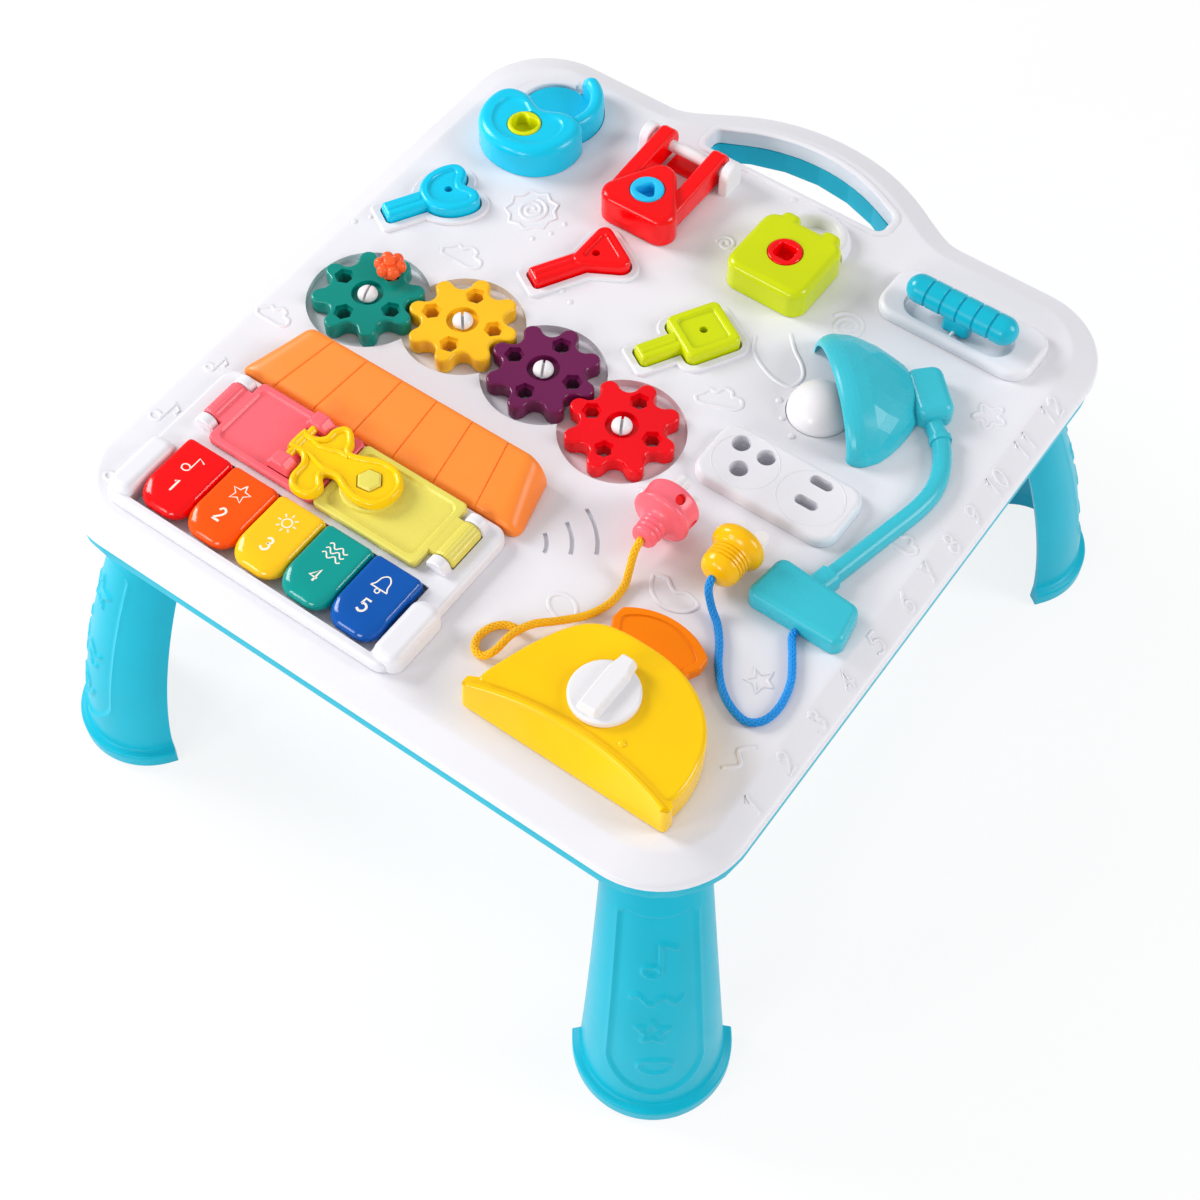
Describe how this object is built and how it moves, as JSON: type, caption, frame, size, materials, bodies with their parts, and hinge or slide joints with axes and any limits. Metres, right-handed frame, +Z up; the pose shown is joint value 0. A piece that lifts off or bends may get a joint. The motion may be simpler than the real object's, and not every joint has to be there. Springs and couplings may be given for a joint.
{
  "type": "musical activity table",
  "caption": "Low toddler activity table on splayed legs, with piano keys, gears, toy locks, doors, lamp, plugs and a toaster on its top.",
  "frame": {"origin": "on the floor, under the centre of the bounding box", "axes": "+Z up from the floor, +Y from the piano edge towards the carry slot, +X to the toaster side"},
  "size_m": [0.4384, 0.48, 0.2408],
  "materials": {
    "board_white": "smooth moulded",
    "teal_base": "smooth moulded",
    "key_red": "glossy",
    "key_orange": "glossy",
    "key_yellow": "glossy",
    "key_green": "glossy",
    "key_blue": "glossy",
    "awning_orange": "glossy",
    "pink": "glossy",
    "lime": "glossy",
    "hasp_yellow": "glossy",
    "gear_teal": "glossy",
    "gear_yellow": "glossy",
    "gear_purple": "glossy",
    "red": "glossy",
    "flower_pink": "glossy",
    "lock_blue": "glossy",
    "ring_yellow": "glossy",
    "ring_blue": "glossy",
    "lock_green": "glossy",
    "lamp_blue": "glossy",
    "handle_blue": "glossy",
    "plug_yellow": "glossy",
    "cord_yellow": "soft satin",
    "cord_blue": "soft satin",
    "toaster_yellow": "glossy",
    "toast_orange": "glossy",
    "inner_parts": "matt",
    "circuit_green": "matt",
    "cell_case": "wrapped"
  },
  "bodies": {
    "table": {"top_shell": "board_white", "bottom_tray": "teal_base", "leg_front_left": "teal_base", "leg_front_right": "teal_base", "leg_rear_left": "teal_base", "leg_rear_right": "teal_base", "piano_deck": "board_white", "awning": "awning_orange", "heart_lock_body": "lock_blue", "triangle_lock_axle": "board_white", "triangle_lock_pad": "red", "square_lock_body": "lock_green", "rocker_block": "board_white", "lamp_shade": "lamp_blue", "lamp_arm": "lamp_blue", "lamp_base": "lamp_blue", "socket_block": "board_white", "plug_three_pin": "pink", "plug_three_pin_prongs": "board_white", "plug_two_blade": "plug_yellow", "plug_two_blade_blades": "board_white", "cord_yellow": "cord_yellow", "cord_blue": "cord_blue", "toaster_body": "toaster_yellow", "speaker": "inner_parts", "circuit_board": "circuit_green", "battery_door": "teal_base", "battery_1": "cell_case", "battery_2": "cell_case", "battery_3": "cell_case"},
    "piano_key_red": {"piano_key_red": "key_red"},
    "piano_key_orange": {"piano_key_orange": "key_orange"},
    "piano_key_yellow": {"piano_key_yellow": "key_yellow"},
    "piano_key_green": {"piano_key_green": "key_green"},
    "piano_key_blue": {"piano_key_blue": "key_blue"},
    "door_left": {"door_left": "pink"},
    "door_right": {"door_right": "lime"},
    "door_hasp": {"door_hasp": "hasp_yellow"},
    "gear_teal": {"gear_teal": "gear_teal"},
    "gear_yellow": {"gear_yellow": "gear_yellow"},
    "gear_purple": {"gear_purple": "gear_purple"},
    "gear_red": {"gear_red": "red"},
    "flower_peg": {"flower_peg": "flower_pink"},
    "heart_keyway": {"heart_lock_keyway": "ring_yellow"},
    "heart_shackle": {"heart_lock_shackle": "lock_blue"},
    "triangle_lock": {"triangle_lock_body": "red"},
    "triangle_keyway": {"triangle_lock_keyway": "ring_blue"},
    "square_keyway": {"square_lock_keyway": "red"},
    "heart_key": {"heart_key": "lock_blue"},
    "triangle_key": {"triangle_key": "red"},
    "square_key": {"square_key": "lock_green"},
    "rocker_handle": {"rocker_handle": "handle_blue"},
    "lamp_bulb": {"lamp_bulb": "board_white"},
    "toast": {"toast": "toast_orange"},
    "toaster_knob": {"toaster_knob": "board_white"}
  },
  "joints": [
    {"name": "press_red", "type": "hinge", "parent": "table", "child": "piano_key_red", "pos_m": [-0.1334, -0.14, 0.213], "axis": [1, 0, 0], "range_deg": [0, 4], "stiffness_Nm_per_rad": 0.05, "springref_deg": -11.46},
    {"name": "press_orange", "type": "hinge", "parent": "table", "child": "piano_key_orange", "pos_m": [-0.1032, -0.14, 0.213], "axis": [1, 0, 0], "range_deg": [0, 4], "stiffness_Nm_per_rad": 0.05, "springref_deg": -11.46},
    {"name": "press_yellow", "type": "hinge", "parent": "table", "child": "piano_key_yellow", "pos_m": [-0.073, -0.14, 0.213], "axis": [1, 0, 0], "range_deg": [0, 4], "stiffness_Nm_per_rad": 0.05, "springref_deg": -11.46},
    {"name": "press_green", "type": "hinge", "parent": "table", "child": "piano_key_green", "pos_m": [-0.0428, -0.14, 0.213], "axis": [1, 0, 0], "range_deg": [0, 4], "stiffness_Nm_per_rad": 0.05, "springref_deg": -11.46},
    {"name": "press_blue", "type": "hinge", "parent": "table", "child": "piano_key_blue", "pos_m": [-0.0126, -0.14, 0.213], "axis": [1, 0, 0], "range_deg": [0, 4], "stiffness_Nm_per_rad": 0.05, "springref_deg": -11.46},
    {"name": "open_left_door", "type": "hinge", "parent": "table", "child": "door_left", "pos_m": [-0.1485, -0.1165, 0.218], "axis": [0, -1, 0], "range_deg": [0, 100]},
    {"name": "open_right_door", "type": "hinge", "parent": "table", "child": "door_right", "pos_m": [0.0005, -0.1165, 0.218], "axis": [0, 1, 0], "range_deg": [0, 100]},
    {"name": "lift_hasp", "type": "hinge", "parent": "door_left", "child": "door_hasp", "pos_m": [-0.098, -0.1163, 0.225], "axis": [0, -1, 0], "range_deg": [0, 120]},
    {"name": "turn_teal_gear", "type": "hinge", "parent": "table", "child": "gear_teal", "pos_m": [-0.1408, -0.014, 0.21], "axis": [0, 0, 1], "continuous": true},
    {"name": "turn_yellow_gear", "type": "hinge", "parent": "table", "child": "gear_yellow", "pos_m": [-0.0881, 0.00065, 0.21], "axis": [0, 0, 1], "continuous": true},
    {"name": "turn_purple_gear", "type": "hinge", "parent": "table", "child": "gear_purple", "pos_m": [-0.0339, -0.001, 0.21], "axis": [0, 0, 1], "continuous": true},
    {"name": "turn_red_gear", "type": "hinge", "parent": "table", "child": "gear_red", "pos_m": [0.02065, -0.0075, 0.21], "axis": [0, 0, 1], "continuous": true},
    {"name": "pull_flower", "type": "slide", "parent": "gear_teal", "child": "flower_peg", "axis": [0, 0, 1], "range_m": [0, 0.025]},
    {"name": "turn_heart_keyway", "type": "hinge", "parent": "table", "child": "heart_keyway", "pos_m": [-0.1413, 0.126, 0.222], "axis": [0, 0, 1], "range_deg": [0, 90]},
    {"name": "swing_shackle", "type": "hinge", "parent": "table", "child": "heart_shackle", "pos_m": [-0.1435, 0.1575, 0.21], "axis": [0, 0, -1], "range_deg": [0, 40]},
    {"name": "tip_triangle_lock", "type": "hinge", "parent": "table", "child": "triangle_lock", "pos_m": [-0.057, 0.167, 0.22], "axis": [-1, 0, 0], "range_deg": [0, 90]},
    {"name": "turn_triangle_keyway", "type": "hinge", "parent": "triangle_lock", "child": "triangle_keyway", "pos_m": [-0.0557, 0.1235, 0.222], "axis": [0, 0, 1], "range_deg": [0, 90]},
    {"name": "turn_square_keyway", "type": "hinge", "parent": "table", "child": "square_keyway", "pos_m": [0.0295, 0.1295, 0.222], "axis": [0, 0, 1], "range_deg": [0, 90]},
    {"name": "lift_heart_key", "type": "slide", "parent": "table", "child": "heart_key", "axis": [0, 0, 1], "range_m": [0, 0.04]},
    {"name": "lift_triangle_key", "type": "slide", "parent": "table", "child": "triangle_key", "axis": [0, 0, 1], "range_m": [0, 0.04]},
    {"name": "lift_square_key", "type": "slide", "parent": "table", "child": "square_key", "axis": [0, 0, 1], "range_m": [0, 0.04]},
    {"name": "rock_handle", "type": "hinge", "parent": "table", "child": "rocker_handle", "pos_m": [0.1258, 0.1503, 0.214], "axis": [0, 1, 0], "range_deg": [-8, 8]},
    {"name": "press_bulb", "type": "slide", "parent": "table", "child": "lamp_bulb", "axis": [0, 0, -1], "range_m": [0, 0.0025], "stiffness_N_per_m": 300, "springref_m": -0.006},
    {"name": "slide_toast", "type": "slide", "parent": "table", "child": "toast", "axis": [0, -1, 0], "range_m": [0, 0.018]},
    {"name": "turn_toaster_knob", "type": "hinge", "parent": "table", "child": "toaster_knob", "pos_m": [0.1104, -0.1477, 0.23], "axis": [0, 0, 1], "range_deg": [-150, 150]}
  ],
  "couplings": [
    {"joint": "open_right_door", "follows": "open_left_door", "ratio": 1},
    {"joint": "turn_yellow_gear", "follows": "turn_teal_gear", "ratio": -1},
    {"joint": "turn_purple_gear", "follows": "turn_teal_gear", "ratio": 1},
    {"joint": "turn_red_gear", "follows": "turn_teal_gear", "ratio": -1}
  ]
}
